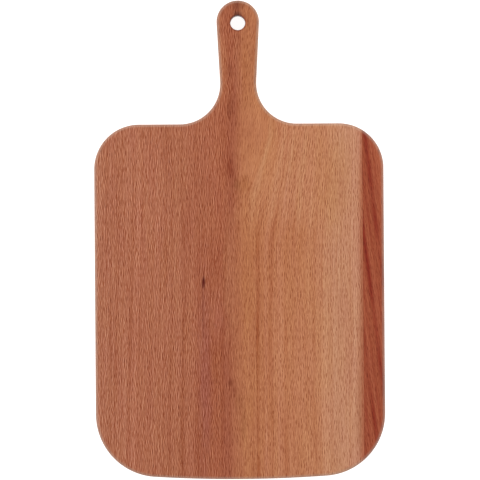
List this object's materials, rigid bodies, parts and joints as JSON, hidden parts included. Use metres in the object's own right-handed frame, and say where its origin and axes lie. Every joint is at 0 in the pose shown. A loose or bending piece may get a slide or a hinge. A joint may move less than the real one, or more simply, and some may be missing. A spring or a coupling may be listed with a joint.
{
  "type": "serving board",
  "caption": "Flat wooden serving board with rounded corners, a tapered handle and a round hanging hole, glued up edge to edge.",
  "frame": {"origin": "on the underside, below the middle of the board's whole length and width", "axes": "+X across the board towards the side strip, +Y along the board towards the handle's end, +Z from the underside up to the serving face"},
  "size_m": [0.272, 0.45, 0.016],
  "materials": {
    "oiled_beech": "sanded and oiled, satin",
    "wood_glue": "cured wood glue, sanded flush",
    "oiled_red_beech": "sanded and oiled, satin"
  },
  "bodies": {
    "root": {"main_plank": "oiled_beech", "edge_glue_line": "wood_glue", "side_strip": "oiled_red_beech"}
  },
  "joints": []
}
